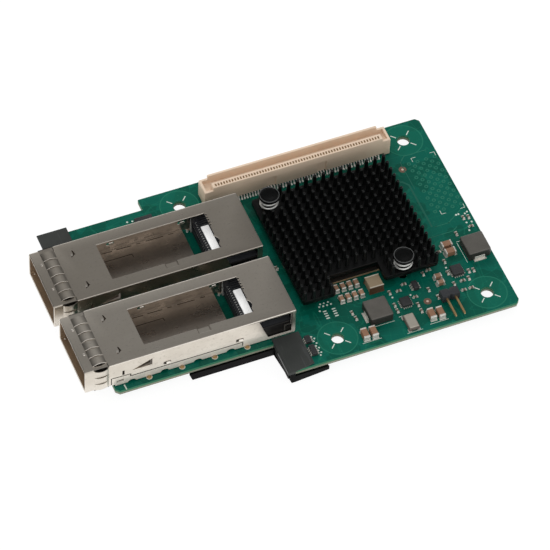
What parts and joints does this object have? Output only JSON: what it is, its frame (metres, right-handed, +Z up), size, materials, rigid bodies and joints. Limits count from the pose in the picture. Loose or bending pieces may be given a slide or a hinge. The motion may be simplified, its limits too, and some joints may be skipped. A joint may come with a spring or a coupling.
{
  "type": "network adapter card",
  "caption": "Green network adapter card with open module cages at one end, a black pin-fin heat sink held by sprung push pins, and a cream board-to-board connector on its back edge.",
  "frame": {"origin": "middle of the card's bounding box, at its lowest face, which is the underside of the insulating tray", "axes": "+X along the card away from the port end, +Y from the front long edge to the edge with the board connector, +Z up from the board's component side"},
  "size_m": [0.118, 0.0686, 0.0142],
  "materials": {
    "solder_mask": "satin green lacquer",
    "nickel_sheet": "plain rolled sheet, nickel-silver tone",
    "black_plastic": "moulded black",
    "white_film": "smooth white film",
    "cream_plastic": "moulded cream",
    "tinned_lead": "bright tin",
    "laminate": "package laminate",
    "black_anodised": "black anodised",
    "spring_steel": "bright drawn wire",
    "insulator": "dark grey film",
    "ferrite": "dull pressed powder",
    "ceramic": "tan fired ceramic",
    "moulded_chip": "black moulding compound",
    "gold_plate": "gold-plated pin",
    "metal_can": "satin metal lid"
  },
  "bodies": {
    "root": {"circuit_board": "solder_mask", "front_cage_shell": "nickel_sheet", "front_cage_spring_collar": "nickel_sheet", "front_cage_floor": "nickel_sheet", "front_port_connector": "black_plastic", "front_port_film": "white_film", "rear_cage_shell": "nickel_sheet", "rear_cage_spring_collar": "nickel_sheet", "rear_cage_floor": "nickel_sheet", "rear_port_connector": "black_plastic", "rear_port_film": "white_film", "board_connector": "cream_plastic", "connector_front_leads": "tinned_lead", "connector_rear_leads": "tinned_lead", "controller_package": "laminate", "controller_lid": "metal_can", "heat_sink": "black_anodised", "left_push_pin": "black_plastic", "left_push_pin_spring": "spring_steel", "right_push_pin": "black_plastic", "right_push_pin_spring": "spring_steel", "insulator_tray": "insulator", "chip_capacitor_1": "ceramic", "chip_capacitor_2": "ceramic", "chip_capacitor_3": "ceramic", "chip_capacitor_4": "ceramic", "chip_capacitor_5": "ceramic", "chip_capacitor_6": "ceramic", "chip_capacitor_7": "ceramic", "chip_capacitor_8": "ceramic", "bulk_capacitor": "ceramic", "large_capacitor_1": "ceramic", "large_capacitor_2": "ceramic", "large_capacitor_3": "ceramic", "large_capacitor_4": "ceramic", "large_capacitor_5": "ceramic", "large_capacitor_6": "ceramic", "medium_capacitor_1": "ceramic", "medium_capacitor_2": "ceramic", "clock_oscillator": "metal_can", "power_stage": "moulded_chip", "power_controller": "moulded_chip", "supervisor_chip": "moulded_chip", "level_shifter_1": "moulded_chip", "level_shifter_2": "moulded_chip", "memory_chip": "moulded_chip", "core_inductor": "ferrite", "supply_inductor": "ferrite", "pin_header_block": "moulded_chip", "left_header_pin": "gold_plate", "right_header_pin": "gold_plate"}
  },
  "joints": []
}
